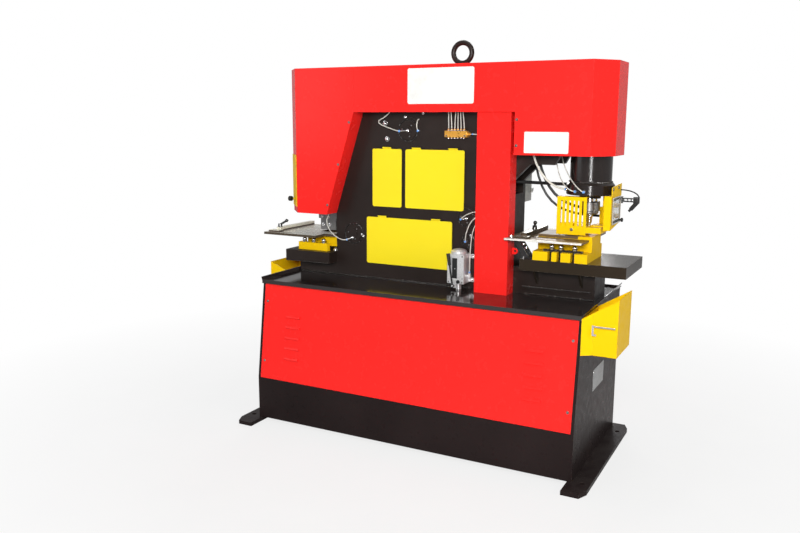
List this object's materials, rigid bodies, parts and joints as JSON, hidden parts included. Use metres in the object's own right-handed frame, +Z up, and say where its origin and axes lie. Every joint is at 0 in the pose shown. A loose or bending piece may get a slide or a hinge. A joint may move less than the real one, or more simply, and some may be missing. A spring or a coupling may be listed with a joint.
{
  "type": "hydraulic ironworker",
  "caption": "Two-station hydraulic ironworker: punch on the right, notcher on the left, section shears behind hinged covers, on a sheet-metal base.",
  "frame": {"origin": "on the floor, at the centre of the four anchor holes", "axes": "+X along the machine to the punching end, -Y out of the side with the window covers, +Z up"},
  "size_m": [2.01, 0.902, 1.9755],
  "materials": {
    "frame_black": "satin",
    "base_black": "satin",
    "tray_black": "gloss",
    "red_paint": "gloss",
    "yellow_paint": "gloss",
    "window_yellow": "gloss",
    "plate_steel": "brushed",
    "bright_steel": "polished",
    "tool_steel": "satin",
    "beam_steel": "satin",
    "brass": "satin",
    "lubricator_body": "satin",
    "black_plastic": "matte",
    "cable": "matte",
    "white_tube": "satin",
    "clear_sheet": "gloss",
    "tank_grey": "satin",
    "box_grey": "satin",
    "stop_red": "gloss"
  },
  "bodies": {
    "machine": {"foot_plates": "base_black", "base_cabinet": "base_black", "front_panel": "red_paint", "rear_panel": "red_paint", "drip_tray": "tray_black", "right_scrap_bin": "yellow_paint", "left_scrap_bin": "yellow_paint", "bin_handle": "bright_steel", "power_pack": "tank_grey", "front_frame_plate": "frame_black", "rear_frame_plate": "frame_black", "frame_webs": "frame_black", "left_bolster": "frame_black", "right_bolster": "frame_black", "left_cover": "red_paint", "centre_cover": "red_paint", "right_cover": "red_paint", "post_cover": "red_paint", "lifting_eye": "frame_black", "punch_cylinder": "frame_black", "cylinder_clamp": "frame_black", "stripper": "yellow_paint", "front_guard": "yellow_paint", "side_guard": "yellow_paint", "guard_window": "clear_sheet", "sensor_arm": "bright_steel", "sensor_head": "black_plastic", "sensor_cable": "cable", "punch_die_holder": "yellow_paint", "punch_table": "plate_steel", "table_bracket": "plate_steel", "station_bolts": "tool_steel", "notch_die": "yellow_paint", "notch_table": "plate_steel", "pins": "frame_black", "shear_cylinder": "frame_black", "grease_block": "brass", "grease_lines": "white_tube", "oil_hoses": "cable", "lubricator": "lubricator_body", "shear_tables": "base_black", "control_box": "box_grey"},
    "punch_ram": {"punch_rod": "bright_steel", "coupling_nut": "tool_steel", "punch": "bright_steel"},
    "shear_beam": {"shear_beam": "beam_steel", "notch_punch": "tool_steel"},
    "shear_rod": {"shear_rod": "bright_steel"},
    "small_window_cover": {"small_window_cover": "window_yellow"},
    "large_window_cover": {"large_window_cover": "window_yellow"},
    "lower_window_cover": {"lower_window_cover": "window_yellow"},
    "lubricator_lever": {"lubricator_lever": "black_plastic"},
    "punch_fence": {"punch_fence": "plate_steel"},
    "punch_fence_lever": {"punch_fence_lever": "black_plastic"},
    "notch_fence": {"notch_fence": "plate_steel"},
    "notch_fence_lever": {"notch_fence_lever": "black_plastic"},
    "notch_guard": {"notch_guard": "yellow_paint"},
    "holddown_screw": {"holddown_screw": "bright_steel"},
    "control_door": {"control_door": "box_grey"},
    "stop_button": {"stop_button": "stop_red"}
  },
  "joints": [
    {"name": "punch_stroke", "type": "slide", "parent": "machine", "child": "punch_ram", "axis": [0, 0, -1], "range_m": [0, 0.04]},
    {"name": "shear_stroke", "type": "hinge", "parent": "machine", "child": "shear_beam", "pos_m": [0.16, 0.15, 1.108], "axis": [0, -1, 0], "range_deg": [0, 4]},
    {"name": "shear_rod_stroke", "type": "slide", "parent": "machine", "child": "shear_rod", "axis": [0, 0, -1], "range_m": [0, 0.0235]},
    {"name": "small_window_hinge", "type": "hinge", "parent": "machine", "child": "small_window_cover", "pos_m": [-0.2885, 0.042, 1.4445], "axis": [-1, 0, 0], "range_deg": [0, 100]},
    {"name": "large_window_hinge", "type": "hinge", "parent": "machine", "child": "large_window_cover", "pos_m": [-0.0175, 0.042, 1.4445], "axis": [-1, 0, 0], "range_deg": [0, 100]},
    {"name": "lower_window_hinge", "type": "hinge", "parent": "machine", "child": "lower_window_cover", "pos_m": [-0.1625, 0.042, 1.0875], "axis": [-1, 0, 0], "range_deg": [0, 100]},
    {"name": "lubricator_pump", "type": "hinge", "parent": "machine", "child": "lubricator_lever", "pos_m": [0.131, -0.0417, 0.776], "axis": [0, -1, 0], "range_deg": [0, 35]},
    {"name": "punch_fence_slide", "type": "slide", "parent": "machine", "child": "punch_fence", "axis": [1, 0, 0], "range_m": [-0.03, 0.014]},
    {"name": "punch_fence_clamp", "type": "hinge", "parent": "punch_fence", "child": "punch_fence_lever", "pos_m": [0.482, 0.15, 1.068], "axis": [0, 0, 1], "range_deg": [-60, 60]},
    {"name": "notch_fence_slide", "type": "slide", "parent": "machine", "child": "notch_fence", "axis": [1, 0, 0], "range_m": [-0.022, 0.095]},
    {"name": "notch_fence_clamp", "type": "hinge", "parent": "notch_fence", "child": "notch_fence_lever", "pos_m": [-0.955, 0.015, 0.995], "axis": [0, 0, 1], "range_deg": [-60, 60]},
    {"name": "notch_guard_height", "type": "slide", "parent": "machine", "child": "notch_guard", "axis": [0, 0, 1], "range_m": [-0.065, 0.065]},
    {"name": "holddown_feed", "type": "slide", "parent": "machine", "child": "holddown_screw", "axis": [0, 0, -1], "range_m": [-0.01, 0.03]},
    {"name": "control_door_hinge", "type": "hinge", "parent": "machine", "child": "control_door", "pos_m": [0.394, 0.353, 1.34], "axis": [0, 0, -1], "range_deg": [0, 110]},
    {"name": "stop_button_press", "type": "slide", "parent": "control_door", "child": "stop_button", "axis": [0, -1, 0], "range_m": [0, 0.005]}
  ],
  "couplings": [
    {"joint": "shear_rod_stroke", "follows": "shear_stroke", "m_per_rad": 0.328}
  ]
}
